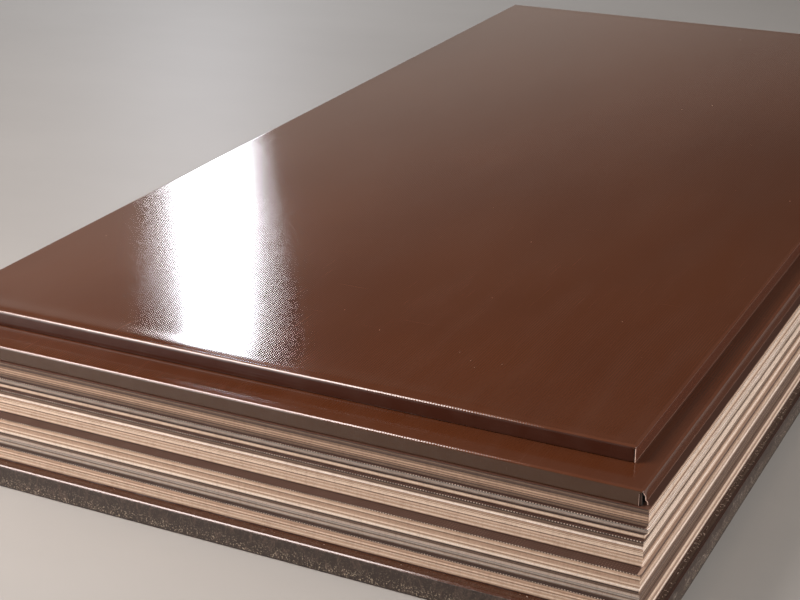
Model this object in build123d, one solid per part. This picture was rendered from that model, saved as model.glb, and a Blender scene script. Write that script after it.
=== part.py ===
from build123d import *
import os

os.makedirs("parts", exist_ok=True)

# Face of every sheet
sheet_width = 1220.0  # short side, along X
sheet_length = 2440.0  # long side, along Y

# Thicknesses that are mixed in the stack
heavy_board = 40.0
deck_board = 27.0
middle_board = 24.0
thin_board = 9.0

# Film that was pressed on wider than the sheet and hangs over its edges as flaps
film = 1.2  # thickness of the hanging film
film_roll = 4.0  # radius of the film over the upper edge
hem_lift = 1.0  # the flap ends this far above the sheet's underside
corner_round = 2.0  # radius of the flap's upright corner

# Corner where two flaps meet and are left open
tight_slit = 2.0  # opening between the flaps, where the fold is tight
torn_slit = 7.5  # the same, where the film has torn away
slit_depth = 4.0  # how deep the opening shows, behind the film
tuck_length = 12.0  # end of the front flap that is folded inwards
tuck_depth = 0.9  # how far its tip lies back
slit_lining = 0.24  # wood left on the inner face of the side flap, beside the opening

# Torn end of the side flap, which stands out past the corner
ear_reach = 22.0  # length of the loose end
ear_root = 3.0  # length by which it runs on into the flap
ear_flare = 9.0  # angle by which it turns outwards
ear_nibble = 2.5  # depth of the jags along its edge
ear_jags = 4

# Cut edge of a sheet without flaps
edge_ease = 0.5  # small bevel that the saw and sanding leave

# A shape that is cut away runs this far past the surface
cut_past = 1.0

# The stack from the floor up: name, thickness, and how the film ends at the edges
stack = [
    ("bottom_sheet", heavy_board, "tight"),
    ("ninth_sheet", middle_board, "cut"),
    ("eighth_sheet", middle_board, "cut"),
    ("seventh_sheet", deck_board, "cut"),
    ("sixth_sheet", heavy_board, "cut"),
    ("fifth_sheet", thin_board, "cut"),
    ("fourth_sheet", thin_board, "cut"),
    ("third_sheet", deck_board, "cut"),
    ("second_sheet", deck_board, "torn"),
    ("top_sheet", deck_board, "tight"),
]

# How far each sheet lies to the right of the top sheet
shift_right = {
    "bottom_sheet": 65.0,
    "ninth_sheet": 51.0,
    "eighth_sheet": 48.0,
    "seventh_sheet": 48.0,
    "sixth_sheet": 43.5,
    "fifth_sheet": 43.0,
    "fourth_sheet": 47.0,
    "third_sheet": 46.0,
    "second_sheet": 35.0,
    "top_sheet": 0.0,
}

# How far each sheet lies in front of the top sheet
shift_front = {
    "bottom_sheet": 118.0,
    "ninth_sheet": 100.0,
    "eighth_sheet": 99.0,
    "seventh_sheet": 99.5,
    "sixth_sheet": 79.0,
    "fifth_sheet": 73.5,
    "fourth_sheet": 74.0,
    "third_sheet": 70.0,
    "second_sheet": 66.5,
    "top_sheet": 0.0,
}


def cut_sheet(thickness):
    """A plain sheet with sawn edges, bevelled a little along its two faces."""
    board = Box(sheet_width, sheet_length, thickness, align=(Align.CENTER, Align.CENTER, Align.MIN))
    rims = board.faces().sort_by(Axis.Z)[0].edges() + board.faces().sort_by(Axis.Z)[-1].edges()
    return chamfer(rims, edge_ease)


def hem_ring():
    """The space under the flaps, all round the sheet."""
    low = (Align.CENTER, Align.CENTER, Align.MIN)
    reach = 2 * (film + cut_past)
    outer = Box(sheet_width + reach, sheet_length + reach, hem_lift, align=low)
    inner = Box(sheet_width, sheet_length, hem_lift, align=low)
    return outer - inner


def corner_cut(thickness, slit, side_x, side_y):
    """The open slit beside one corner, and the tapered space over the tucked flap end."""
    flap_top = thickness - film_roll
    side_face = sheet_width / 2 + film
    front_face = sheet_length / 2 + film
    slit_outer = side_face - film - slit_lining
    slit_inner = slit_outer - slit
    tuck_start = slit_inner - tuck_length
    outline = Polyline(
        (slit_outer, front_face + cut_past),
        (slit_outer, front_face - film - slit_depth),
        (slit_inner, front_face - film - slit_depth),
        (slit_inner, front_face - tuck_depth),
        (tuck_start, front_face),
        (tuck_start, front_face + cut_past),
        close=True,
    )
    space = extrude(make_face(outline), flap_top)
    if side_x < 0:
        space = mirror(space, about=Plane.YZ)
    if side_y < 0:
        space = mirror(space, about=Plane.XZ)
    return space


def torn_ear(thickness):
    """Loose jagged end of the right-hand flap, turned outwards from its root."""
    low = hem_lift + ear_nibble
    high = thickness - film_roll
    pitch = (high - low) / ear_jags
    points = [(ear_root, low), (ear_root, high)]
    for jag in range(ear_jags + 1):
        nibble = ear_nibble if jag % 2 else 0.0
        points.append((nibble - ear_reach, high - jag * pitch))
    tongue = extrude(Plane.YZ * make_face(Polyline(*points, close=True)), -film)
    return Rot(0, 0, ear_flare) * tongue


def ear_space(thickness):
    """What the torn end leaves empty on the right-hand side, under the rolled edge."""
    corner = Pos(sheet_width / 2, -sheet_length / 2 - film - cut_past, 0)
    low = (Align.MIN, Align.MIN, Align.MIN)
    return corner * Box(film + cut_past, ear_reach + cut_past, thickness - film_roll, align=low)


def wrapped_sheet(thickness, ends):
    """A sheet whose film rolls over the upper edges and hangs down as four flaps."""
    slit = tight_slit if ends == "tight" else torn_slit
    low = (Align.CENTER, Align.CENTER, Align.MIN)
    sheet = Box(sheet_width + 2 * film, sheet_length + 2 * film, thickness, align=low)
    sheet = fillet(sheet.edges().filter_by(Axis.Z), corner_round)
    sheet = fillet(sheet.faces().sort_by(Axis.Z)[-1].edges(), film_roll)
    sheet = sheet - hem_ring()
    for side_x in (-1, 1):
        for side_y in (-1, 1):
            sheet = sheet - corner_cut(thickness, slit, side_x, side_y)
    if ends == "torn":
        root = Pos(sheet_width / 2 + film, ear_reach - sheet_length / 2 - film, 0)
        sheet = sheet - ear_space(thickness)
        sheet = sheet + root * torn_ear(thickness)
    return sheet


def lies_at(name):
    """Centre of a sheet in plan, seen from the middle of the whole stack."""
    lefts = [shift_right[n] - sheet_width / 2 - edge_reach[n] for n in shift_right]
    rights = [shift_right[n] + sheet_width / 2 + edge_reach[n] for n in shift_right]
    fronts = [-shift_front[n] - sheet_length / 2 - edge_reach[n] for n in shift_front]
    backs = [-shift_front[n] + sheet_length / 2 + edge_reach[n] for n in shift_front]
    middle_x = (min(lefts) + max(rights)) / 2
    middle_y = (min(fronts) + max(backs)) / 2
    return shift_right[name] - middle_x, -shift_front[name] - middle_y


# How far the flaps stand out past the sheet's own face
edge_reach = {name: (0.0 if ends == "cut" else film) for name, thickness, ends in stack}

level = 0.0
for name, thickness, ends in stack:
    solid = cut_sheet(thickness) if ends == "cut" else wrapped_sheet(thickness, ends)
    at_x, at_y = lies_at(name)
    export_step(Pos(at_x, at_y, level) * solid, "parts/" + name + ".step")
    level = level + thickness
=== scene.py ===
import math
import random
import bmesh
import bpy
from mathutils import Matrix, Vector, noise


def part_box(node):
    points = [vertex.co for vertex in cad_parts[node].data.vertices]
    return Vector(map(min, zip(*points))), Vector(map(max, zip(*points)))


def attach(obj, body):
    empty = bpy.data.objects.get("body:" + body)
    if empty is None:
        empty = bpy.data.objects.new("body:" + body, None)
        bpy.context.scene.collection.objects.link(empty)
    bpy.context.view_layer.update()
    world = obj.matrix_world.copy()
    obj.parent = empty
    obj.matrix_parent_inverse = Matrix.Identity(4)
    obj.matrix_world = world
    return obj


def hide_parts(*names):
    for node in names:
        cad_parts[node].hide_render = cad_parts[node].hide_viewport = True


# A loose stack of ten film-faced plywood sheets. Everything is in metres, in the frame of the solids.
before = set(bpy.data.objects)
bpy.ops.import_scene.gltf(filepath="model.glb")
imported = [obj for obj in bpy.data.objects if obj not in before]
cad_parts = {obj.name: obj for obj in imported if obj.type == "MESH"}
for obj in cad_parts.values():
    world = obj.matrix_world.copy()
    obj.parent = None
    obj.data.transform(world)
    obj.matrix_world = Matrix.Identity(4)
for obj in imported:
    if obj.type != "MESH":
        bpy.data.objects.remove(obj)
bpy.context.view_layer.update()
scene = bpy.context.scene
print("stage: frame loaded")


def toLinear(hexColour):  # sRGB hex to the linear RGBA of Blender's sockets
    parts = [int(hexColour[i:i + 2], 16) / 255 for i in (1, 3, 5)]
    return [c / 12.92 if c <= 0.04045 else ((c + 0.055) / 1.055) ** 2.4 for c in parts] + [1.0]


def addNode(tree, kind, settings=None, values=None, links=None):  # one node with its settings and links
    node = tree.nodes.new(kind)
    for name, value in (settings or {}).items():
        setattr(node, name, value)
    for socket, value in (values or {}).items():
        node.inputs[socket].default_value = value
    for socket, source in (links or {}).items():
        tree.links.new(source, node.inputs[socket])
    return node


def addPiece(name, mesh):  # links a finished mesh into the scene
    piece = bpy.data.objects.new(name, mesh)
    scene.collection.objects.link(piece)
    return piece


# Materials. In their dictionaries a Noise is the size of a blotch along X, Y and Z in metres, how many finer
# layers it has and how strong they are. A Step is where an eased step starts and ends, and what it gives.

def startMaterial(name):
    material = bpy.data.materials.new(name)
    material.use_nodes = True
    tree = material.node_tree
    tree.nodes.clear()
    shader = addNode(tree, "ShaderNodeBsdfPrincipled")
    addNode(tree, "ShaderNodeOutputMaterial", links={"Surface": shader.outputs["BSDF"]})
    return material, tree, shader, addNode(tree, "ShaderNodeTexCoord")


def addMath(tree, operation, first, second=None, third=None, clamp=False):  # numbers are set, sockets linked
    node = addNode(tree, "ShaderNodeMath", {"operation": operation, "use_clamp": clamp})
    for index, value in enumerate((first, second, third)):
        if isinstance(value, (int, float)):
            node.inputs[index].default_value = value
        elif value is not None:
            tree.links.new(value, node.inputs[index])
    return node.outputs[0]


def addMix(tree, factor, first, second):  # colours: a hex string or a socket
    node = addNode(tree, "ShaderNodeMix", {"data_type": "RGBA"})
    for index, value in ((0, factor), (6, first), (7, second)):
        if isinstance(value, str):
            node.inputs[index].default_value = toLinear(value)
        elif isinstance(value, (int, float)):
            node.inputs[index].default_value = value
        else:
            tree.links.new(value, node.inputs[index])
    return node.outputs[2]


def addNoise(tree, place, grain, detail=2.0, roughness=0.5):
    scaled = addNode(tree, "ShaderNodeVectorMath", {"operation": "MULTIPLY"},
                     {1: [1 / size for size in grain]}, {0: place})
    values = {"Scale": 1.0, "Detail": detail, "Roughness": roughness}
    return addNode(tree, "ShaderNodeTexNoise", {}, values, {"Vector": scaled.outputs[0]}).outputs["Fac"]


def addRange(tree, value, low, high, toLow=0.0, toHigh=1.0):  # eased step from low to high
    return addNode(tree, "ShaderNodeMapRange", {"interpolation_type": "SMOOTHSTEP"},
                   {"From Min": low, "From Max": high, "To Min": toLow, "To Max": toHigh},
                   {"Value": value}).outputs["Result"]


def addEitherWay(tree, facing, step):  # the same step for both directions of an axis
    return addRange(tree, addMath(tree, "ABSOLUTE", facing), *step)


def splitAxes(tree, vector):  # its parts along X, Y and Z
    return addNode(tree, "ShaderNodeSeparateXYZ", links={0: vector}).outputs


def readAttribute(tree, name, output="Color"):
    return addNode(tree, "ShaderNodeAttribute", {"attribute_name": name}).outputs[output]


def addBump(tree, height, depth, strength=1.0, under=None):  # relief, on top of another where one is given
    links = {"Height": height}
    if under is not None:
        links["Normal"] = under
    return addNode(tree, "ShaderNodeBump", {}, {"Strength": strength, "Distance": depth}, links).outputs[0]


# Where a surface counts as a side face, which takes the tones that are seen from the side
sidewaysStep = (0.4, 0.6)
filmLook = {
    "brown": "#502A17", "redBrown": "#572F1A", "veil": "#8F7D74", "wornHem": "#B59A8B", "ior": 1.5,
    "meshPitch": 0.0044, "meshRelief": 0.00007, "studSharpness": 1.6, "peelRelief": 0.000003,
    "cloudNoise": ((0.35, 0.5, 0.35), 3), "wipeNoise": ((0.05, 0.3, 0.05), 4, 0.6),
    "hairNoise": ((0.0011, 0.16, 0.02), 1), "crossHairNoise": ((0.12, 0.0012, 0.02), 1),
    "peelNoise": ((0.006, 0.006, 0.006), 2),
    "hairStep": (0.76, 0.80), "crossHairStep": (0.77, 0.81), "toneStep": (0.3, 0.7), "flapShadeStep": (0.75, 0.95),
    "hemStep": (0.3, 0.9, 0.0, 0.6), "wipeStep": (0.35, 0.75, 0.0, 0.03), "scratchVeil": 0.10,
    "glossStep": (0.3, 0.8, 0.08, 0.105),
}
# The flaps, on the front and on the sides: painted shade makes the front ones darker than the face, and a
# painted sheen makes the side ones greyer
shadedFlapTones = {"top_sheet": ("#391D14", "#4F2D20"), "second_sheet": ("#3E2819", "#4C2E21")}


def meshSine(tree, along):  # one wave a mesh pitch
    return addMath(tree, "SINE", addMath(tree, "MULTIPLY", along, 2 * math.pi / filmLook["meshPitch"]))


def meshStuds(tree, place):  # marks of the woven wire, a mesh pitch apart, flat on each face of the sheet
    axes = splitAxes(tree, place.outputs["Object"])
    facing = splitAxes(tree, place.outputs["Normal"])
    waves = [addMath(tree, "MULTIPLY_ADD", meshSine(tree, axis), 0.5, 0.5) for axis in axes]
    total = None
    for i, j, k in ((0, 1, 2), (0, 2, 1), (1, 2, 0)):
        weight = addMath(tree, "MULTIPLY", facing[k], facing[k])
        crossing = addMath(tree, "MULTIPLY", waves[i], waves[j])
        dome = addMath(tree, "POWER", crossing, filmLook["studSharpness"])
        stud = addMath(tree, "MULTIPLY", dome, weight)
        total = stud if total is None else addMath(tree, "ADD", total, stud)
    return total


def makeFilm(name, frontFlapShade, sideFlapSheen):  # phenolic film pressed on mesh: glossy, shallow studs, hairlines
    material, tree, shader, place = startMaterial(name)
    where = place.outputs["Object"]
    facing = splitAxes(tree, place.outputs["Normal"])
    clouds = addNoise(tree, where, *filmLook["cloudNoise"])
    wipes = addNoise(tree, where, *filmLook["wipeNoise"])
    hairs = addRange(tree, addNoise(tree, where, *filmLook["hairNoise"]), *filmLook["hairStep"])
    crossHairs = addNoise(tree, where, *filmLook["crossHairNoise"])
    scratches = addMath(tree, "MAXIMUM", hairs, addRange(tree, crossHairs, *filmLook["crossHairStep"]))
    cloudy = addRange(tree, clouds, *filmLook["toneStep"])
    tone = addMix(tree, cloudy, filmLook["brown"], filmLook["redBrown"])
    # the flaps take their own tones: painted shade on the front, a painted sheen on the sides
    tone = addMix(tree, addEitherWay(tree, facing[1], filmLook["flapShadeStep"]), tone, frontFlapShade)
    tone = addMix(tree, addEitherWay(tree, facing[0], filmLook["flapShadeStep"]), tone, sideFlapSheen)
    hem = addMath(tree, "MULTIPLY", readAttribute(tree, "hem", "Fac"),
                  addEitherWay(tree, facing[0], filmLook["hemStep"]))
    tone = addMix(tree, hem, tone, filmLook["wornHem"])
    haze = addMath(tree, "ADD", addRange(tree, wipes, *filmLook["wipeStep"]),
                   addMath(tree, "MULTIPLY", scratches, filmLook["scratchVeil"]))
    tree.links.new(addMix(tree, haze, tone, filmLook["veil"]), shader.inputs["Base Color"])
    tree.links.new(addRange(tree, clouds, *filmLook["glossStep"]), shader.inputs["Roughness"])
    shader.inputs["IOR"].default_value = filmLook["ior"]
    studs = addBump(tree, meshStuds(tree, place), filmLook["meshRelief"])
    peel = addNoise(tree, where, *filmLook["peelNoise"])
    tree.links.new(addBump(tree, peel, filmLook["peelRelief"], under=studs), shader.inputs["Normal"])
    return material


dustLook = {
    "brown": "#241812", "dust": "#57463D", "crumb": "#B0A18C", "nearFloor": "#1A1310", "grimy": "#2C1A13",
    "ledge": "#432618", "relief": 0.0004, "swayScale": 22.0, "swayDetail": 2.0, "sway": (0.03, 0.03, 0.0),
    "smearNoise": ((0.007, 0.007, 0.028), 4, 0.7), "gritNoise": ((0.0022, 0.0022, 0.0022), 2, 0.7),
    "uprightStep": (0.6, 0.25), "smearStep": (0.46, 0.74, 0.06, 0.7), "gritStep": (0.56, 0.70),
    "gritShare": 0.16, "floorStep": (0.027, 0.006), "nearFloorStep": (0.004, 0.0015),
    "veilStep": (0.5, 0.8, 0.0, 0.2),
    "grimyRun": 0.004, "grimyShare": 0.85, "glossStep": (0, 1, 0.12, 0.42),
}


def makeDustyFilm():  # the same film on the lowest sheet, scuffed upright and dulled by floor dust
    material, tree, shader, place = startMaterial("dustyPhenolicFilm")
    where = place.outputs["Object"]
    axes = splitAxes(tree, where)
    upright = addEitherWay(tree, splitAxes(tree, place.outputs["Normal"])[2], dustLook["uprightStep"])
    sway = addNode(tree, "ShaderNodeTexNoise", {},
                   {"Scale": dustLook["swayScale"], "Detail": dustLook["swayDetail"]}, {"Vector": where})
    swayed = addNode(tree, "ShaderNodeVectorMath", {"operation": "MULTIPLY_ADD"}, {1: dustLook["sway"]},
                     {0: sway.outputs["Color"], 2: where}).outputs[0]
    smears = addNoise(tree, swayed, *dustLook["smearNoise"])
    grit = addNoise(tree, where, *dustLook["gritNoise"])
    gritty = addMath(tree, "ADD", dustLook["gritShare"], addRange(tree, axes[2], *dustLook["floorStep"]))
    gritty = addMath(tree, "MULTIPLY", addRange(tree, grit, *dustLook["gritStep"]), gritty)
    dusty = addMix(tree, addRange(tree, smears, *dustLook["smearStep"]), dustLook["brown"], dustLook["dust"])
    dusty = addMix(tree, gritty, dusty, dustLook["crumb"])
    # darker at the foot, within a few millimetres of the floor
    dusty = addMix(tree, addRange(tree, axes[2], *dustLook["nearFloorStep"]), dusty, dustLook["nearFloor"])
    clean = addMix(tree, addRange(tree, smears, *dustLook["veilStep"]), dustLook["ledge"], filmLook["veil"])
    # past the sheet above, grime has gathered on the open ledge
    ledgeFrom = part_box("ninth_sheet")[1].x
    grimy = addRange(tree, axes[0], ledgeFrom, ledgeFrom + dustLook["grimyRun"], 0.0, dustLook["grimyShare"])
    clean = addMix(tree, grimy, clean, dustLook["grimy"])
    tree.links.new(addMix(tree, upright, clean, dusty), shader.inputs["Base Color"])
    tree.links.new(addRange(tree, upright, *dustLook["glossStep"]), shader.inputs["Roughness"])
    shader.inputs["IOR"].default_value = filmLook["ior"]
    rough = addBump(tree, addMath(tree, "MULTIPLY", grit, upright), dustLook["relief"])
    studs = addBump(tree, meshStuds(tree, place), filmLook["meshRelief"], under=rough)
    tree.links.new(studs, shader.inputs["Normal"])
    return material


plyLook = {
    "roughness": 0.62, "pore": "#A58C78", "relief": 0.00025, "reliefStrength": 0.8,
    "patchNoise": ((0.11, 0.11, 0.0016), 3, 0.6), "streakNoise": ((0.018, 0.018, 0.0005), 3, 0.7),
    "poreNoise": ((0.0021, 0.0021, 0.0012), 2, 0.6), "sawNoise": ((0.0055, 0.0055, 0.02), 1),
    "patchStep": (0.5, 0.8, 0.0, 0.35), "streakStep": (0.45, 0.8, 0.0, 0.5),
    "poreStep": (0.55, 0.75, 0.0, 0.45), "sawStep": (0.45, 0.75, 0.0, 0.15),
}


def makePlies():  # rotary-cut birch veneers, sawn: dull, streaked along the grain, pored on end grain
    material, tree, shader, place = startMaterial("sawnBirchPlies")
    where = place.outputs["Object"]
    sideways = addEitherWay(tree, splitAxes(tree, place.outputs["Normal"])[0], sidewaysStep)
    tone = addMix(tree, sideways, readAttribute(tree, "frontTone"), readAttribute(tree, "sideTone"))
    kinds = ("patch", "streak", "pore", "saw")
    marks = {kind: addNoise(tree, where, *plyLook[kind + "Noise"]) for kind in kinds}
    dark = 0.0
    for kind in kinds:
        share = addRange(tree, marks[kind], *plyLook[kind + "Step"])
        dark = addMath(tree, "ADD", dark, share, clamp=kind == kinds[-1])
    stained = addNode(tree, "ShaderNodeMix", {"data_type": "RGBA", "blend_type": "MULTIPLY"},
                      {7: toLinear(plyLook["pore"])}, {0: dark, 6: tone})
    tree.links.new(stained.outputs[2], shader.inputs["Base Color"])
    shader.inputs["Roughness"].default_value = plyLook["roughness"]
    relief = addBump(tree, addMath(tree, "ADD", marks["pore"], marks["saw"]), plyLook["relief"],
                     plyLook["reliefStrength"])
    tree.links.new(relief, shader.inputs["Normal"])
    return material


meshSideLook = {
    "film": "#432C24", "stud": "#806A60", "cutDark": "#38281F", "cutDotHighlight": "#E2D2C2",
    "dust": "#B79C8A", "studRelief": 0.0003, "roughness": 0.36, "wearNoise": ((0.03, 0.03, 0.03), 3, 0.6),
    "studStep": (0.35, 0.8), "wearStep": (0.4, 0.65, 0.15, 0.8), "glintStep": (0.0, 0.7),
    "glintWearStep": (0.35, 0.6, 0.3, 0.9), "edgeStep": (0.6, 0.3),
    "dustRun": (-0.0010, -0.0002), "dustShare": 0.75,
}


def makeMeshSide():  # rough mesh side of the film: dull purplish brown, studs worn pale, sawn edge with painted highlight dots
    material, tree, shader, place = startMaterial("meshSidePhenolicFilm")
    where = place.outputs["Object"]
    axes = splitAxes(tree, where)
    facing = splitAxes(tree, place.outputs["Normal"])
    studs = meshStuds(tree, place)
    wear = addNoise(tree, where, *meshSideLook["wearNoise"])
    worn = addMath(tree, "MULTIPLY", addRange(tree, studs, *meshSideLook["studStep"]),
                   addRange(tree, wear, *meshSideLook["wearStep"]))
    face = addMix(tree, worn, meshSideLook["film"], meshSideLook["stud"])
    # past the sixth sheet's right face the narrow ledge is covered with wood dust
    dustFrom, dustTo = (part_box("sixth_sheet")[1].x + run for run in meshSideLook["dustRun"])
    dust = addRange(tree, axes[0], dustFrom, dustTo, 0.0, meshSideLook["dustShare"])
    face = addMix(tree, dust, face, meshSideLook["dust"])
    # the pale dots along the sawn edge are painted highlights, thinned out where the wear noise is low
    wave = meshSine(tree, addMath(tree, "ADD", axes[0], axes[1]))
    glintDots = addMath(tree, "MULTIPLY", addRange(tree, wave, *meshSideLook["glintStep"]),
                   addRange(tree, wear, *meshSideLook["glintWearStep"]))
    glintDotted = addMix(tree, glintDots, meshSideLook["cutDark"], meshSideLook["cutDotHighlight"])
    cut = addMix(tree, addEitherWay(tree, facing[0], sidewaysStep), glintDotted, readAttribute(tree, "sideTone"))
    edge = addEitherWay(tree, facing[2], meshSideLook["edgeStep"])
    tree.links.new(addMix(tree, edge, face, cut), shader.inputs["Base Color"])
    shader.inputs["Roughness"].default_value = meshSideLook["roughness"]
    shader.inputs["IOR"].default_value = filmLook["ior"]
    tree.links.new(addBump(tree, studs, meshSideLook["studRelief"]), shader.inputs["Normal"])
    return material


smoothEdgeLook = {
    "dark": "#1F1513", "pale": "#3D2D27", "above": "#5E4135", "roughness": 0.35,
    "noise": ((0.02, 0.02, 0.001), 3, 0.7), "toneStep": (0.4, 0.7), "aboveStep": (0.5, 0.8),
}


def makeSmoothEdge():  # smooth film seen at its sawn edge: a thin, nearly black purple line
    material, tree, shader, place = startMaterial("smoothPhenolicFilmEdge")
    facing = splitAxes(tree, place.outputs["Normal"])
    blot = addRange(tree, addNoise(tree, place.outputs["Object"], *smoothEdgeLook["noise"]),
                    *smoothEdgeLook["toneStep"])
    # the dark tone is partly the film's own edge, partly painted shadow under each sheet
    dark = addMix(tree, blot, smoothEdgeLook["dark"], smoothEdgeLook["pale"])
    edge = addMix(tree, addEitherWay(tree, facing[0], sidewaysStep), dark, readAttribute(tree, "sideTone"))
    above = addRange(tree, facing[2], *smoothEdgeLook["aboveStep"])
    tree.links.new(addMix(tree, above, edge, smoothEdgeLook["above"]), shader.inputs["Base Color"])
    shader.inputs["Roughness"].default_value = smoothEdgeLook["roughness"]
    return material


blotchedLooks = {
    # the hanging film at its cut rim: torn paper fibres, pale pinkish, matt
    "cutPhenolicFilm": {"tones": ("#F0D6C8", "#B48E7E"), "noise": ((0.003, 0.003, 0.003), 2),
                        "roughness": 0.5},
    # cured phenolic glue and pressed wood in the joints: nearly black brown, dull
    "phenolicGlue": {"tones": ("#33221A", "#4A3226"), "noise": ((0.01, 0.01, 0.002), 2), "roughness": 0.6},
    # loose chips and fibres of the film and wood: pale, matt
    "paleDust": {"tones": ("#CFC4B8", "#8F7F72"), "noise": ((0.004, 0.004, 0.004), 1), "roughness": 0.85},
    # trowelled concrete, painted pale: even, faintly clouded
    "paleFloor": {"tones": ("#A9A9A6", "#B7B7B4"), "noise": ((0.9, 0.5, 0.5), 4, 0.6), "roughness": 0.55},
}


def makeBlotched(name):  # two tones, blotched
    look = blotchedLooks[name]
    material, tree, shader, place = startMaterial(name)
    blot = addNoise(tree, place.outputs["Object"], *look["noise"])
    tree.links.new(addMix(tree, blot, *look["tones"]), shader.inputs["Base Color"])
    shader.inputs["Roughness"].default_value = look["roughness"]
    return material


films = {node: makeFilm(node.replace("_sheet", "Film"), *tones) for node, tones in shadedFlapTones.items()}
cutFilm = makeBlotched("cutPhenolicFilm")
meshSide = makeMeshSide()
smoothEdge = makeSmoothEdge()
dustyFilm = makeDustyFilm()
sawnPlies = makePlies()
glue = makeBlotched("phenolicGlue")
paleDust = makeBlotched("paleDust")
print("stage: materials made")


# Geometry Nodes trees for what repeats

def startTree(name, inputs):
    tree = bpy.data.node_groups.new(name, "GeometryNodeTree")
    tree.interface.new_socket("Geometry", in_out="INPUT", socket_type="NodeSocketGeometry")
    for label, kind in inputs.items():
        tree.interface.new_socket(label, in_out="INPUT", socket_type="NodeSocket" + kind)
    tree.interface.new_socket("Geometry", in_out="OUTPUT", socket_type="NodeSocketGeometry")
    return tree, addNode(tree, "NodeGroupInput").outputs


def endTree(tree, geometry, material):  # every tree ends in real meshes with their material
    real = addNode(tree, "GeometryNodeRealizeInstances", links={0: geometry})
    painted = addNode(tree, "GeometryNodeSetMaterial", {}, {"Material": material}, {0: real.outputs[0]})
    addNode(tree, "NodeGroupOutput", links={0: painted.outputs[0]})


def growPiece(name, seedMesh, tree, inputs):  # runs a tree on a small mesh, keeps the result as a plain mesh
    carrier = addPiece(name + "Seed", seedMesh)
    modifier = carrier.modifiers.new("grow", "NODES")
    modifier.node_group = tree
    for item in tree.interface.items_tree:
        if item.in_out == "INPUT" and item.name in inputs:
            modifier[item.identifier] = inputs[item.name]
    mesh = bpy.data.meshes.new_from_object(carrier.evaluated_get(bpy.context.evaluated_depsgraph_get()))
    carrier.modifiers.remove(modifier)
    bpy.data.objects.remove(carrier)
    return addPiece(name, mesh)


# The slab is one metre thick at first. Its outline wavers on a scale of 3 cm, unlike that of the next slab.
slabShape = {"half": 0.5, "weld": 0.0001, "waver": (30, 30, 2500), "detail": 3.0, "span": (2, 2, 0)}


def makeSlabTree(material):  # one thin slab on each point of a mesh, with a slightly uneven sawn outline
    tree, given = startTree("slabs", {"Width": "Float", "Length": "Float", "Step": "Float",
                                      "Wander": "Float", "Seed": "Float"})
    outline = addNode(tree, "GeometryNodeCurvePrimitiveQuadrilateral",
                      links={"Width": given["Width"], "Height": given["Length"]})
    spaced = addNode(tree, "GeometryNodeResampleCurve", {"mode": "LENGTH"},
                     links={"Curve": outline.outputs[0], "Length": given["Step"]})
    flat = addNode(tree, "GeometryNodeFillCurve", {"mode": "NGONS"}, links={"Curve": spaced.outputs[0]})
    down = addNode(tree, "GeometryNodeTransform", values={"Translation": (0, 0, -slabShape["half"])},
                   links={0: flat.outputs[0]})
    upright = addNode(tree, "GeometryNodeExtrudeMesh",
                      values={"Offset Scale": 2 * slabShape["half"], "Individual": False},
                      links={"Mesh": down.outputs[0]})
    underside = addNode(tree, "GeometryNodeFlipFaces", links={0: down.outputs[0]})
    both = addNode(tree, "GeometryNodeJoinGeometry")
    tree.links.new(underside.outputs[0], both.inputs[0])
    tree.links.new(upright.outputs[0], both.inputs[0])
    slab = addNode(tree, "GeometryNodeMergeByDistance", values={"Distance": slabShape["weld"]},
                   links={0: both.outputs[0]})
    size = addNode(tree, "GeometryNodeInputNamedAttribute", {"data_type": "FLOAT_VECTOR"},
                   {"Name": "slabSize"})
    laid = addNode(tree, "GeometryNodeInstanceOnPoints",
                   links={"Points": given["Geometry"], "Instance": slab.outputs[0], "Scale": size.outputs[0]})
    real = addNode(tree, "GeometryNodeRealizeInstances", links={0: laid.outputs[0]})
    place = addNode(tree, "GeometryNodeInputPosition")
    apart = addNode(tree, "ShaderNodeVectorMath", {"operation": "MULTIPLY"}, {1: slabShape["waver"]},
                    {0: place.outputs[0]})
    blur = addNode(tree, "ShaderNodeTexNoise", {"noise_dimensions": "4D"},
                   {"Scale": 1.0, "Detail": slabShape["detail"]},
                   {"Vector": apart.outputs[0], "W": given["Seed"]})
    centred = addNode(tree, "ShaderNodeVectorMath", {"operation": "SUBTRACT"}, {1: (0.5, 0.5, 0.5)},
                      {0: blur.outputs["Color"]})
    flatShift = addNode(tree, "ShaderNodeVectorMath", {"operation": "MULTIPLY"}, {1: slabShape["span"]},
                        {0: centred.outputs[0]})
    shift = addNode(tree, "ShaderNodeVectorMath", {"operation": "SCALE"},
                    links={0: flatShift.outputs[0], "Scale": given["Wander"]})
    sawn = addNode(tree, "GeometryNodeSetPosition", links={0: real.outputs[0], "Offset": shift.outputs[0]})
    endTree(tree, sawn.outputs[0], material)
    return tree


# A chip: a ball one metre wide, squashed between the least and the most, scaled and turned
chipShape = {"radius": 0.5, "least": (0.5, 0.6, 0.12), "most": (1.3, 1.0, 0.25), "turn": (0, 0, 6.28)}


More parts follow.
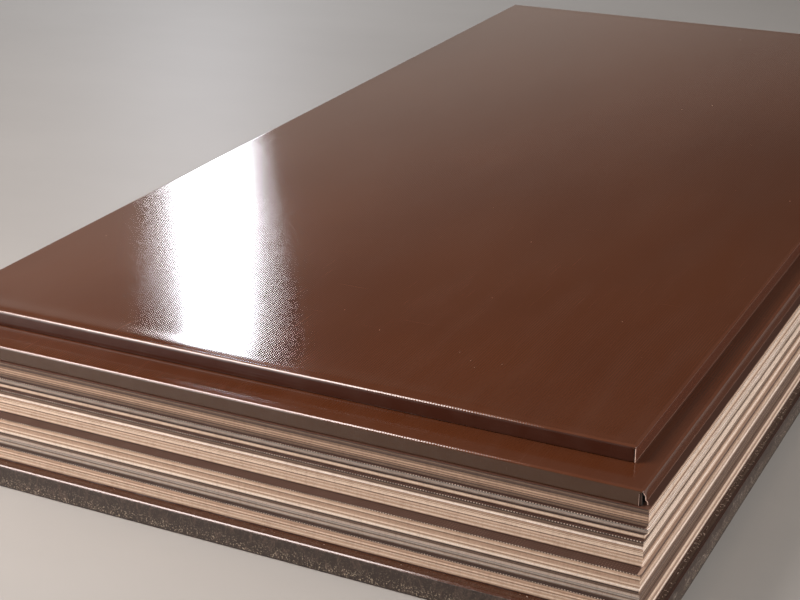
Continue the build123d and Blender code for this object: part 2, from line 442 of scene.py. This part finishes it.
def makeFlakeTree(material):  # loose chips strewn over the faces of a mesh
    tree, given = startTree("flakes", {"Density": "Float", "Smallest": "Float", "Largest": "Float",
                                       "Stretch": "Float", "Seed": "Int"})
    strewn = addNode(tree, "GeometryNodeDistributePointsOnFaces",
                     links={"Mesh": given["Geometry"], "Density": given["Density"], "Seed": given["Seed"]})
    chip = addNode(tree, "GeometryNodeMeshIcoSphere", {}, {"Radius": chipShape["radius"], "Subdivisions": 1})
    spread = addNode(tree, "FunctionNodeRandomValue", {"data_type": "FLOAT"},
                     links={2: given["Smallest"], 3: given["Largest"], "Seed": given["Seed"]})
    squash = addNode(tree, "FunctionNodeRandomValue", {"data_type": "FLOAT_VECTOR"},
                     {0: chipShape["least"], 1: chipShape["most"]})
    long = addNode(tree, "ShaderNodeCombineXYZ", values={1: 1.0, 2: 1.0}, links={0: given["Stretch"]})
    slender = addNode(tree, "ShaderNodeVectorMath", {"operation": "MULTIPLY"},
                      links={0: squash.outputs[0], 1: long.outputs[0]})
    size = addNode(tree, "ShaderNodeVectorMath", {"operation": "SCALE"},
                   links={0: slender.outputs[0], "Scale": spread.outputs[1]})
    spin = addNode(tree, "FunctionNodeRandomValue", {"data_type": "FLOAT_VECTOR"},
                   {0: (0, 0, 0), 1: chipShape["turn"]})
    turned = addNode(tree, "FunctionNodeRotateRotation", {"rotation_space": "LOCAL"},
                     links={0: strewn.outputs["Rotation"], 1: spin.outputs[0]})
    laid = addNode(tree, "GeometryNodeInstanceOnPoints",
                   links={"Points": strewn.outputs[0], "Instance": chip.outputs[0],
                          "Rotation": turned.outputs[0], "Scale": size.outputs[0]})
    endTree(tree, laid.outputs[0], material)
    return tree


slabTree = makeSlabTree(sawnPlies)
meshSlabTree = makeSlabTree(meshSide)
smoothSlabTree = makeSlabTree(smoothEdge)
flakeTree = makeFlakeTree(paleDust)
print("stage: trees made")


# Tones of the veneers: whitish, pale, tan, ochre, brown, nut, dark, silver, grey and black, as in even light
# k, the black one, is painted shade: it goes only to the hidden plies seen deep in the slits
veneerTones = {"w": "#F4E8DE", "p": "#DFCBB8", "t": "#BCA08A", "o": "#987C67", "b": "#7B6555", "n": "#604C41",
               "d": "#43322A", "s": "#B5A598", "g": "#888481", "k": "#14100D"}

# How the veneers look from the top of each sheet down, on its front and on its side, whether its rough mesh
# side lies up, and how its upper and lower film look on the side
sawnSheets = {
    # the third sheet's top takes the smooth film, with its dark undotted edge, as painted shade under the
    # second sheet's flap
    "third_sheet": {"front": "nbnndbobttbotnobdbb", "side": "ttpttpwwppppttotpww",
                    "meshUp": False, "films": "bp"},
    "fourth_sheet": {"front": "bgsssgb", "side": "wwppwpp", "meshUp": True, "films": "wp"},
    "fifth_sheet": {"front": "ntppptb", "side": "pwppptb", "meshUp": False, "films": "pb"},
    "sixth_sheet": {"front": "dnbnbpwwotoptpppntpttppttppt", "side": "ppppwpppwwppnbnnbnbottppwwpp",
                    "meshUp": True, "films": "dp"},
    "seventh_sheet": {"front": "ottppbottttppotpwwp", "side": "ndnototppptpopwwwwp",
                      "meshUp": True, "films": "nb"},
    "eighth_sheet": {"front": "bnbsssgsgbssgbdd", "side": "obnndnbnbnbnnbbn", "meshUp": False, "films": "bd"},
    "ninth_sheet": {"front": "bttotptoppttpptt", "side": "tppppptpobtpwwwt", "meshUp": True, "films": "nb"},
}
sawnCut = {
    # the lower film is thicker than a smooth upper one, so that its dark edge also serves as painted shadow
    # under the sheet
    "facing": 0.0009, "lowerFacingAndShadow": 0.0012, "meshFacing": 0.0014, "inset": 0.0005,
    "facingReach": 0.0003, "facingStep": 0.006, "facingWander": 0.0004,
    "glueLine": (0.00015, 0.0006), "reach": 0.0003, "step": 0.02, "wander": 0.0002, "shades": (0.93, 1.05),
    "coreInset": 0.0006, "coreGap": 0.0004, "coreBevel": 0.0005,
    "plySeed": 11, "upperSeed": 31, "lowerSeed": 41, "hiddenSeed": 50,
}


def laySlabs(name, tree, low, high, slabs, tones, step, wander, seed):
    # slabs: the level of each, how far it reaches past the outline and how thick it is
    width, length = high[0] - low[0], high[1] - low[1]
    middle = ((low[0] + high[0]) / 2, (low[1] + high[1]) / 2)
    points = []
    scales = []
    for level, reach, thick in slabs:
        points.append((*middle, level))
        scales += [1 + 2 * reach / width, 1 + 2 * reach / length, thick]
    mesh = bpy.data.meshes.new(name + "Points")
    mesh.from_pydata(points, [], [])
    mesh.attributes.new("slabSize", "FLOAT_VECTOR", "POINT").data.foreach_set("vector", scales)
    for label, row in tones.items():
        colours = mesh.attributes.new(label, "FLOAT_COLOR", "POINT")
        colours.data.foreach_set("color", [c for tone in row for c in tone])
    return growPiece(name, mesh, tree, {"Width": width, "Length": length, "Step": step, "Wander": wander,
                                        "Seed": seed})


def layPlies(name, low, high, front, side, seed):  # the veneers of one sheet between two levels
    draw = random.Random(seed)
    pitch = (high[2] - low[2]) / len(front)
    slabs = []
    for i in range(len(front)):
        reach = draw.uniform(-1, 1) * sawnCut["reach"]
        slabs.append((high[2] - pitch * (i + 0.5), reach, pitch - draw.uniform(*sawnCut["glueLine"])))
    tones = {}
    for label, letters in (("frontTone", front), ("sideTone", side)):
        rows = []
        for letter in letters:
            shade = draw.uniform(*sawnCut["shades"])
            rows.append([min(1.0, c * shade) for c in toLinear(veneerTones[letter])[:3]] + [1.0])
        tones[label] = rows
    return laySlabs(name, slabTree, low, high, slabs, tones, sawnCut["step"], sawnCut["wander"], float(seed))


def layFacing(name, low, high, tree, tone, seed):  # the film on one face, a little proud of the plies
    slab = ((low[2] + high[2]) / 2, sawnCut["facingReach"], high[2] - low[2])
    return laySlabs(name, tree, low, high, [slab], {"sideTone": [toLinear(veneerTones[tone])]},
                    sawnCut["facingStep"], sawnCut["facingWander"], seed + 0.5)


def layCore(name, low, high):  # glue and wood behind the joints between the plies
    shape = bmesh.new()
    bmesh.ops.create_cube(shape, size=1.0)
    gaps = (2 * sawnCut["coreInset"], 2 * sawnCut["coreInset"], sawnCut["coreGap"])
    bmesh.ops.scale(shape, vec=[high[i] - low[i] - gaps[i] for i in range(3)], verts=shape.verts)
    bmesh.ops.translate(shape, vec=[(low[i] + high[i]) / 2 for i in range(3)], verts=shape.verts)
    bmesh.ops.bevel(shape, geom=shape.edges[:], offset=sawnCut["coreBevel"], segments=1, affect="EDGES")
    mesh = bpy.data.meshes.new(name)
    shape.to_mesh(mesh)
    mesh.materials.append(glue)
    return addPiece(name, mesh)


pieces = []
for number, (node, look) in enumerate(sawnSheets.items()):
    low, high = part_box(node)
    label = node.replace("_s", "S")
    # the lower film's thickness includes a band of painted shadow under the sheet
    thin = sawnCut["lowerFacingAndShadow"]
    thick = sawnCut["meshFacing"] if look["meshUp"] else sawnCut["facing"]
    upperTree = meshSlabTree if look["meshUp"] else smoothSlabTree
    plyLow = Vector(low) + Vector((sawnCut["inset"], sawnCut["inset"], thin))
    plyHigh = Vector(high) - Vector((sawnCut["inset"], sawnCut["inset"], thick))
    plies = layPlies(label + "Plies", plyLow, plyHigh, look["front"], look["side"],
                     sawnCut["plySeed"] + number)
    upper = layFacing(label + "UpperFilm", (*plyLow.xy, high.z - thick), (*plyHigh.xy, high.z),
                      upperTree, look["films"][0], sawnCut["upperSeed"] + number)
    lower = layFacing(label + "LowerFilm", (*plyLow.xy, low.z), (*plyHigh.xy, low.z + thin),
                      smoothSlabTree, look["films"][1], sawnCut["lowerSeed"] + number)
    core = layCore(label + "Glue", plyLow, plyHigh)
    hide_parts(node)
    pieces += [(plies, "sawn_plies"), (upper, "brown_film"), (lower, "brown_film"), (core, "sawn_plies")]
print("stage: sawn sheets laid")


# Sheets whose film hangs over the edges
wrap = {
    "width": 1.220, "length": 2.440, "film": 0.0012, "skinShare": 0.9, "roll": 0.004,
    "hemLift": 0.001, "margin": 0.0009, "plyInset": 0.0008, "plyDrop": 0.0006,
    # the mesh: even steps with closer ones at both ends, and how far down the flap its rings lie
    "step": 0.02, "cornerSteps": 6, "weld": 0.00001,
    "closer": (0, 0.0013, 0.0026, 0.004, 0.0055, 0.007, 0.0085, 0.0105, 0.014,
               0.02, 0.027, 0.034, 0.042, 0.055, 0.07),
    "hangShares": (0.12, 0.24, 0.36, 0.48, 0.6, 0.72, 0.83, 0.91, 0.955, 1.0),
    # the face: the flat on its roll, a low crest inside the rim, a fall towards it, and a slight warp
    "rollFlat": 0.0018, "rollTurns": (15, 30, 41, 45), "crest": 0.014, "crestReach": 0.034,
    "fallReach": 0.035, "rimBlend": 0.004, "warp": 0.00008, "warpReach": 0.03, "warpGrain": (2.6, 2.2),
    # the flaps: their waves, the curl and wear of the hem, and the fold beside a slit
    "wave": 0.00036, "waveGrain": (7.0, 20), "waveShift": (0.3, 3.1),
    "hemFlare": 0.0003, "hemReach": 0.003, "hemWear": 0.0014,
    "setIn": 0.004, "slitOuter": 0.00144, "sideRollFrom": 0.66,
    "tuckLength": 0.012, "valley": 0.15, "valleyAt": 0.78, "valleyWidth": 0.13, "ridgeAt": 0.85,
    # the torn ear: how far it turns out, how its end is torn back, and its ragged noise
    "earFlare": 0.25, "earBulge": (1.5, 0.6, 0.35), "earJag": 0.0045, "earTorn": 0.007, "earTaper": 0.4,
    "earNoise": (3.3, 260, 1.7),
}
wrappedSheets = {
    "top_sheet": {"slit": 0.002, "tuck": 0.0012, "ear": 0.0, "sunk": 0.0006, "lip": 0.0005, "fall": 0.0,
                  "plies": 19, "seed": 3},
    "second_sheet": {"slit": 0.0045, "tuck": 0.0, "ear": 0.022, "sunk": 0.0001, "lip": 0.0, "fall": 0.0009,
                     "plies": 19, "seed": 5},
    "bottom_sheet": {"slit": 0.002, "tuck": 0.0012, "ear": 0.0, "sunk": 0.0001, "lip": 0.0, "fall": 0.0,
                     "plies": 28, "seed": 8},
}


def spaced(low, high):  # even steps, with a few closer ones at both ends
    inner = [low + end for end in wrap["closer"]] + [high - end for end in wrap["closer"]]
    start, stop = low + wrap["closer"][-1], high - wrap["closer"][-1]
    count = round((stop - start) / wrap["step"])
    return sorted(set(inner + [start + (stop - start) * i / count for i in range(1, count)]))


def eased(value):  # 0 to 1 with soft ends
    value = max(0.0, min(1.0, value))
    return value * value * (3 - 2 * value)


def hangPoint(column, drop, sheet, reachDown):  # where the film lies, a given drop below the top
    (x, y), (nx, ny) = column["base"], column["normal"]
    start = wrap["roll"] + sheet["sunk"] + sheet["fall"]
    grain, dropGrain = wrap["waveGrain"]
    ahead, apart = wrap["waveShift"]
    spot = ((x + nx * ahead) * grain + sheet["seed"] * apart, (y + ny * ahead) * grain, drop * dropGrain)
    out = wrap["roll"] + wrap["wave"] * eased((drop - start) / reachDown) * noise.noise(Vector(spot))
    # the hem turns in on the front and back, and out on the sides
    curl = abs(nx) - abs(ny)
    out += wrap["hemFlare"] * curl * eased((drop - reachDown - start) / wrap["hemReach"] + 1)
    return Vector((x + nx * out, y + ny * out, -drop))


def inSlit(a, b):  # True between the ends of two flaps at a corner
    return a["turn"] > 0 and b["turn"] > 0 and min(a["share"], b["share"]) <= 0.5


def rimColumns(face, xs, ys):  # the columns round the rim, counter-clockwise from the near left corner
    rims = [
        [(face[i][0], (xs[i], ys[0]), -90) for i in range(len(xs))],
        [(face[-1][j], (xs[-1], ys[j]), 0) for j in range(len(ys))],
        [(face[i][-1], (xs[i], ys[-1]), 90) for i in reversed(range(len(xs)))],
        [(face[0][j], (xs[0], ys[j]), 180) for j in reversed(range(len(ys)))],
    ]
    cornerTurns = [step / wrap["cornerSteps"] for step in range(1, wrap["cornerSteps"])]
    columns = []
    for side, rim in enumerate(rims):
        facesY = side in (0, 2)
        for index, turn in enumerate([0.0] * len(rim) + cornerTurns):
            vertex, base, angle = rim[min(index, len(rim) - 1)]
            angle = math.radians(angle + 90 * turn)
            # turn is how far a corner has turned, share how far from the front or back towards the side
            columns.append({"top": vertex, "base": base, "normal": (math.cos(angle), math.sin(angle)),
                            "facesY": facesY, "turn": turn, "share": turn if facesY else 1 - turn})
    return columns


def finishSkin(shape, name, material, hem):  # the film as a piece, with its worn hem and a cut rim
    loose = [vertex for vertex in shape.verts if not vertex.link_faces]
    bmesh.ops.delete(shape, geom=loose, context="VERTS")
    bmesh.ops.remove_doubles(shape, verts=shape.verts, dist=wrap["weld"])
    bmesh.ops.recalc_face_normals(shape, faces=shape.faces)
    mesh = bpy.data.meshes.new(name)
    shape.to_mesh(mesh)
    mesh.materials.append(material)
    mesh.materials.append(cutFilm)
    wear = [max(0.0, 1 - (vertex.co.z - hem) / wrap["hemWear"]) for vertex in mesh.vertices]
    mesh.attributes.new("hem", "FLOAT", "POINT").data.foreach_set("value", wear)
    for polygon in mesh.polygons:
        polygon.use_smooth = True
    piece = addPiece(name, mesh)
    skin = piece.modifiers.new("thickness", "SOLIDIFY")
    skin.thickness = wrap["film"] * wrap["skinShare"]
    skin.offset = -1.0
    skin.material_offset_rim = 1
    return piece


def wrapSheet(name, node, sheet, material):
    low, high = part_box(node)
    top = high.z
    left = low.x + wrap["margin"]
    right = low.x + wrap["width"] + 2 * wrap["film"] - wrap["margin"]
    near = low.y + wrap["margin"]
    far = low.y + wrap["length"] + 2 * wrap["film"] - wrap["margin"]
    roll = wrap["roll"]
    xs = spaced(left + roll, right - roll)
    ys = spaced(near + roll, far - roll)
    shape = bmesh.new()

    def sink(x, y):  # how far the face lies below the sheet's top
        aways = [away - roll for away in (x - left, right - x, y - near, far - y)]
        nearest = -wrap["rimBlend"] * math.log(sum(math.exp(-away / wrap["rimBlend"]) for away in aways))
        fall = max(0.0, 1 - max(0.0, nearest) / wrap["fallReach"]) ** 2
        # a low crest runs along the front, inside the rim
        past = aways[2] - wrap["crest"]
        crest = eased(1 + past / wrap["crest"]) if past < 0 else eased(1 - past / wrap["crestReach"])
        crest *= eased(min(aways[:2]) / wrap["crestReach"])
        spot = (x * wrap["warpGrain"][0], y * wrap["warpGrain"][1], sheet["seed"])
        warp = wrap["warp"] * (noise.noise(Vector(spot)) + 1) * eased(nearest / wrap["warpReach"])
        return sheet["sunk"] + sheet["fall"] * fall - sheet["lip"] * crest + warp

    face = [[shape.verts.new((x, y, top - sink(x, y))) for y in ys] for x in xs]
    for i in range(len(xs) - 1):
        for j in range(len(ys) - 1):
            shape.faces.new((face[i][j], face[i + 1][j], face[i + 1][j + 1], face[i][j + 1]))

    columns = rimColumns(face, xs, ys)
    # the film turns over the edge in two arcs with a narrow flat between, which catches the light as a line
    flat = wrap["rollFlat"] * math.sqrt(0.5)
    arc = roll - flat
    turns = [math.radians(turn) for turn in wrap["rollTurns"]]
    laterTurns = [math.pi / 2 - turn for turn in reversed(turns)] + [math.pi / 2]
    rimSink = sheet["sunk"] + sheet["fall"]
    outs = [arc * math.sin(t) for t in turns] + [arc * math.sin(t) + flat for t in laterTurns]
    drops = [rimSink + arc * (1 - math.cos(t)) for t in turns]
    drops += [rimSink + arc * (1 - math.cos(t)) + flat for t in laterTurns]
    reachDown = high.z - low.z - wrap["hemLift"] - roll - rimSink
    hangs = [roll + rimSink + reachDown * share for share in wrap["hangShares"]]
    openEdge = sheet["slit"] + wrap["slitOuter"]

    def place(column, drop):  # a point of the hanging film, with the tucked and torn ends at the corners
        point = hangPoint(column, drop, sheet, reachDown)
        x, y = column["base"]
        facesY = column["facesY"]
        share = column["share"]
        signX = 1 if x > (left + right) / 2 else -1
        signY = 1 if y > (near + far) / 2 else -1
        faceX = right if signX > 0 else left
        faceY = far if signY > 0 else near
        hang = eased((drop - roll - rimSink) / wrap["setIn"])
        tucked = faceY - signY * sheet["tuck"] * hang
        corner = column["turn"] > 0
        if corner and share <= 0.5:
            point.x = faceX - signX * openEdge
            point.y = tucked
            return point
        if corner:
            point.x = faceX
            past = max(0.0, share - wrap["sideRollFrom"]) / (1 - wrap["sideRollFrom"])
            point.y = faceY - signY * roll * past
        if facesY and not corner:
            away = signX * (faceX - signX * openEdge - x)
            if 0 < away < wrap["tuckLength"]:
                # a valley where the fold starts, a ridge, and the end turned in
                fold = away / wrap["tuckLength"]
                valley = wrap["valley"] * math.exp(-((fold - wrap["valleyAt"]) / wrap["valleyWidth"]) ** 2)
                inward = sheet["tuck"] * hang * max(valley, eased(1 - fold / wrap["ridgeAt"]))
                # the wave and the hem's curl end before the slit
                point.y = faceY + (point.y - faceY) * eased(fold) - signY * inward
            if away <= 0:
                point.x = faceX - signX * openEdge
                point.y = tucked
        ahead = sheet["ear"] - (point.y - near)
        if sheet["ear"] and signX > 0 > signY and (not facesY or share > 0.5) and ahead > 0:
            down = (drop - roll - rimSink) / reachDown
            seed, grain, other = wrap["earNoise"]
            ragged = noise.noise(Vector((seed, drop * grain, other)))
            rise, sag, rag = wrap["earBulge"]
            bulge = rise * down - sag * down * down + rag * hang * ragged
            point.x += wrap["earFlare"] * ahead * max(0.0, bulge)
            torn = wrap["earJag"] * (ragged + 0.5) + wrap["earTorn"] * down
            taper = ahead / sheet["ear"] * (1 + wrap["earTaper"]) - wrap["earTaper"]
            point.y += torn * hang * eased(taper)
        return point

    rings = []
    for drop, out in zip(drops, outs):
        ring = []
        for column in columns:
            (x, y), (nx, ny) = column["base"], column["normal"]
            ring.append(shape.verts.new((x + nx * out, y + ny * out, top - drop)))
        rings.append(ring)
    for drop in hangs:
        ring = []
        for column in columns:
            point = place(column, drop)
            ring.append(shape.verts.new((point.x, point.y, top + point.z)))
        rings.append(ring)

    for index, column in enumerate(columns):
        after = (index + 1) % len(columns)
        following = columns[after]
        if column["top"] is following["top"]:
            shape.faces.new((column["top"], rings[0][index], rings[0][after]))
        else:
            shape.faces.new((column["top"], rings[0][index], rings[0][after], following["top"]))
        for k in range(len(rings) - 1):
            if k < len(drops) - 1 or not inSlit(column, following):
                shape.faces.new((rings[k][index], rings[k + 1][index], rings[k + 1][after], rings[k][after]))
    piece = finishSkin(shape, name, material, low.z + wrap["hemLift"])
    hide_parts(node)
    return piece, (left, right, near, far)


for node, sheet in wrappedSheets.items():
    label = node.replace("_s", "S")
    skin, (left, right, near, far) = wrapSheet(label + "Film", node, sheet, films.get(node, dustyFilm))
    low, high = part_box(node)
    inset = wrap["film"] + wrap["plyInset"]
    plyTop = high.z - wrap["film"] - sheet["fall"] - sheet["sunk"] - wrap["plyDrop"]
    plyLow = Vector((left + inset, near + inset, low.z))
    plyHigh = Vector((right - inset, far - inset, plyTop))
    # they show only behind the slits, all in black veneer, which is painted shade for the depth there
    dark = "k" * sheet["plies"]
    plies = layPlies(label + "Plies", plyLow, plyHigh, dark, dark, sawnCut["hiddenSeed"] + sheet["seed"])
    core = layCore(label + "Glue", plyLow, plyHigh)
    pieces += [(skin, "dusty_film" if node == "bottom_sheet" else "brown_film"),
               (plies, "sawn_plies"), (core, "sawn_plies")]
print("stage: wrapped sheets laid")


# Loose chips and fibres: how many to a square metre, how small, large and slender, and where their patch ends
strewn = {
    "dustSpecks": {"Density": 14.0, "Smallest": 0.0010, "Largest": 0.0022, "Stretch": 1.0, "Seed": 4,
                   "inset": 0.04},
    "ledgeFibres": {"Density": 20000.0, "Smallest": 0.0007, "Largest": 0.0013, "Stretch": 5.0, "Seed": 6,
                    "inner": 0.001, "outer": 0.0052, "ends": 0.008, "sunk": 0.0001},
    "ledgeCrumbs": {"Density": 900.0, "Smallest": 0.0008, "Largest": 0.0016, "Stretch": 3.0, "Seed": 7,
                    "inner": 0.001, "outer": 0.005, "ends": 0.004, "sunk": 0.0002},
    "sideFibres": {"Density": 12000.0, "Smallest": 0.0008, "Largest": 0.0014, "Stretch": 6.0, "Seed": 8,
                   "proud": 0.0002, "ends": 0.01, "low": 0.008, "high": 0.01},
}


def strew(name, corners, slotName):
    patch = bpy.data.meshes.new(name + "Patch")
    patch.from_pydata(corners, [], [(0, 1, 2, 3)])
    pieces.append((growPiece(name, patch, flakeTree, strewn[name]), slotName))


def levelPatch(west, east, south, north, height):
    return [(west, south, height), (east, south, height), (east, north, height), (west, north, height)]


topLow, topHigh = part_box("top_sheet")
bottomLow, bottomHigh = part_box("bottom_sheet")
ninthLow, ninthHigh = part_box("ninth_sheet")
inset = strewn["dustSpecks"]["inset"]
strew("dustSpecks", levelPatch(topLow.x + inset, topHigh.x - inset, topLow.y + inset, topHigh.y - inset,
                               topHigh.z - wrappedSheets["top_sheet"]["sunk"] - wrap["warp"]), "brown_film")
ledge = strewn["ledgeFibres"]
strew("ledgeFibres", levelPatch(ninthHigh.x + ledge["inner"], bottomHigh.x - ledge["outer"],
                                bottomLow.y + ledge["ends"], bottomHigh.y - ledge["ends"],
                                bottomHigh.z - ledge["sunk"]), "dusty_film")
ledge = strewn["ledgeCrumbs"]
strew("ledgeCrumbs", levelPatch(bottomLow.x + ledge["ends"], bottomHigh.x - ledge["ends"],
                                bottomLow.y + ledge["outer"], ninthLow.y - ledge["inner"],
                                bottomHigh.z - ledge["sunk"]), "dusty_film")
side = strewn["sideFibres"]
out = bottomHigh.x - wrap["margin"] + side["proud"]
south, north = bottomLow.y + side["ends"], bottomHigh.y - side["ends"]
base, crown = side["low"], bottomHigh.z - side["high"]
strew("sideFibres", [(out, south, base), (out, north, base), (out, north, crown), (out, south, crown)],
      "dusty_film")
print("stage: chips and fibres strewn")


# Floor, light and camera
floorReach = 25.0
floorMesh = bpy.data.meshes.new("floor")
floorMesh.from_pydata(levelPatch(-floorReach, floorReach, -floorReach, floorReach, 0), [], [(0, 1, 2, 3)])
floorMesh.materials.append(makeBlotched("paleFloor"))
floor = addPiece("floor", floorMesh)

lamps = {
    # a tall window behind on the left, which lies as a white streak on the top sheet
    "window": {"at": (-2.805, 2.945, 1.78), "towards": (-0.4, -0.6, 0.25), "size": (0.3, 1.22), "watts": 32,
               "colour": "#F4F6FF"},
    # a roof light over the near left, which draws the bright line along the rolled edges
    "roofLight": {"at": (-1.75, -2.43, 2.6), "towards": (-1.75, -1.2, 0.25), "size": (1.9, 0.5), "watts": 85,
                  "colour": "#FFF0EA"},
    # the same lower down, for the edge of the lowest sheet
    "lowRoofLight": {"at": (-1.95, -3.05, 2.6), "towards": (-1.95, -1.28, 0.03), "size": (1.9, 0.25),
                     "watts": 42, "colour": "#FFF0EA"},
    # wide soft light from the near left and from the right
    "nearLeft": {"at": (-2.9, -4.6, 1.0), "towards": (-0.5, -1.2, 0.1), "size": (2.2, 1.6), "watts": 106,
                 "colour": "#FFFBF6"},
    "right": {"at": (4.4, -1.3, 1.1), "towards": (0.6, -0.5, 0.1), "size": (2.4, 1.6), "watts": 160,
              "colour": "#FFF6F2"},
}
for name, lamp in lamps.items():
    data = bpy.data.lights.new(name, "AREA")
    data.shape = "RECTANGLE"
    data.size, data.size_y = lamp["size"]
    data.energy = lamp["watts"]
    data.color = toLinear(lamp["colour"])[:3]
    light = bpy.data.objects.new(name, data)
    scene.collection.objects.link(light)
    light.location = lamp["at"]
    light.rotation_euler = (Vector(lamp["towards"]) - Vector(lamp["at"])).to_track_quat("-Z", "Y").to_euler()

# The room's colours by the sine of their height. It is darker to the right: its bands lie lower there.
room = {
    "shift": 0.45, "slant": 0.45,
    "bands": [(0.0, "#C6C1BC"), (0.22, "#CEC7BF"), (0.27, "#CBBBAF"), (0.32, "#A89184"), (0.38, "#66574E"),
              (0.46, "#483D37"), (1.0, "#908C89")],
}
world = bpy.data.worlds.new("softRoom")
world.use_nodes = True
scene.world = world
sky = world.node_tree
sky.nodes.clear()
aims = splitAxes(sky, addNode(sky, "ShaderNodeTexCoord").outputs["Generated"])
height = addMath(sky, "MULTIPLY_ADD", addMath(sky, "ADD", aims[0], room["shift"]), room["slant"], aims[2])
ramp = addNode(sky, "ShaderNodeValToRGB", links={0: height})
stops = ramp.color_ramp.elements
while len(stops) < len(room["bands"]):
    stops.new(0.5)
for stop, (position, colour) in zip(stops, room["bands"]):
    stop.position = position
    stop.color = toLinear(colour)
shine = addNode(sky, "ShaderNodeBackground", values={"Strength": 1.0}, links={"Color": ramp.outputs[0]})
addNode(sky, "ShaderNodeOutputWorld", links={"Surface": shine.outputs[0]})

view = {
    "lens": 76.29, "sensor": 36.0, "turn": 26.787, "tilt": 22.565, "roll": -0.384,  # millimetres and degrees
    "fromCorner": (0.64491, -1.99562, 1.08123),  # from the top sheet's near right corner, in metres
    "clip": (0.05, 100),
}


def aimCamera():
    low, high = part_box("top_sheet")
    turn, tilt, roll = (math.radians(view[key]) for key in ("turn", "tilt", "roll"))
    ahead = Vector((-math.sin(turn) * math.cos(tilt), math.cos(turn) * math.cos(tilt), -math.sin(tilt)))
    levelRight = Vector((math.cos(turn), math.sin(turn), 0))
    rightward = levelRight * math.cos(roll) + levelRight.cross(ahead) * math.sin(roll)
    upward = rightward.cross(ahead)
    data = bpy.data.cameras.new("camera")
    data.sensor_width = view["sensor"]
    data.lens = view["lens"]
    data.clip_start, data.clip_end = view["clip"]
    camera = bpy.data.objects.new("camera", data)
    scene.collection.objects.link(camera)
    axes = Matrix((rightward, upward, -ahead)).transposed().to_4x4()
    at = Vector((high.x, low.y, high.z)) + Vector(view["fromCorner"])
    camera.matrix_world = Matrix.Translation(at) @ axes
    scene.camera = camera


aimCamera()
scene.view_settings.view_transform = "Standard"

for piece, slotName in pieces:
    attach(piece, "root")
print("stage: ready,", len(pieces), "pieces")
